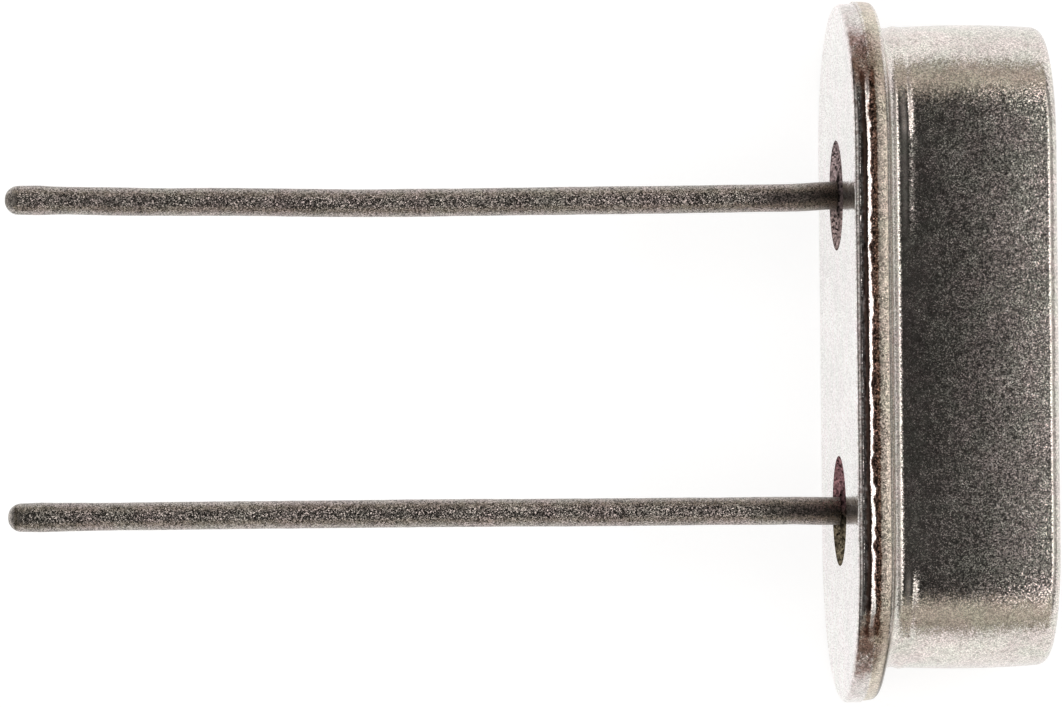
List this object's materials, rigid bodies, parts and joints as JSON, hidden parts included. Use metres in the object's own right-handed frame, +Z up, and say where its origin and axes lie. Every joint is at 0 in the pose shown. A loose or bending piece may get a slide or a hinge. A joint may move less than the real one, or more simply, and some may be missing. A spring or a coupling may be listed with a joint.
{
  "type": "crystal oscillator",
  "caption": "Low-profile quartz crystal in a welded obround metal can, with straight through-hole leads in glass seals.",
  "frame": {"origin": "on the table, under the middle of the whole unit as it lies on its broad side", "axes": "+X from the leads' tips to the can's top, +Y along the flange's length, +Z up from the table"},
  "size_m": [0.0162, 0.0108, 0.0048],
  "materials": {
    "can_metal": "satin",
    "base_metal": "satin",
    "seal_glass": "gloss",
    "tinned_wire": "satin",
    "spring_strip": "satin",
    "quartz": "gloss",
    "silver_film": "polished",
    "silver_paste": "matte"
  },
  "bodies": {
    "root": {"can": "can_metal", "base_plate": "base_metal", "glass_seal_1": "seal_glass", "glass_seal_2": "seal_glass", "lead_1": "tinned_wire", "lead_2": "tinned_wire", "support_1": "spring_strip", "support_2": "spring_strip", "quartz_blank": "quartz", "electrode_top": "silver_film", "electrode_bottom": "silver_film", "adhesive_1": "silver_paste", "adhesive_2": "silver_paste"}
  },
  "joints": []
}
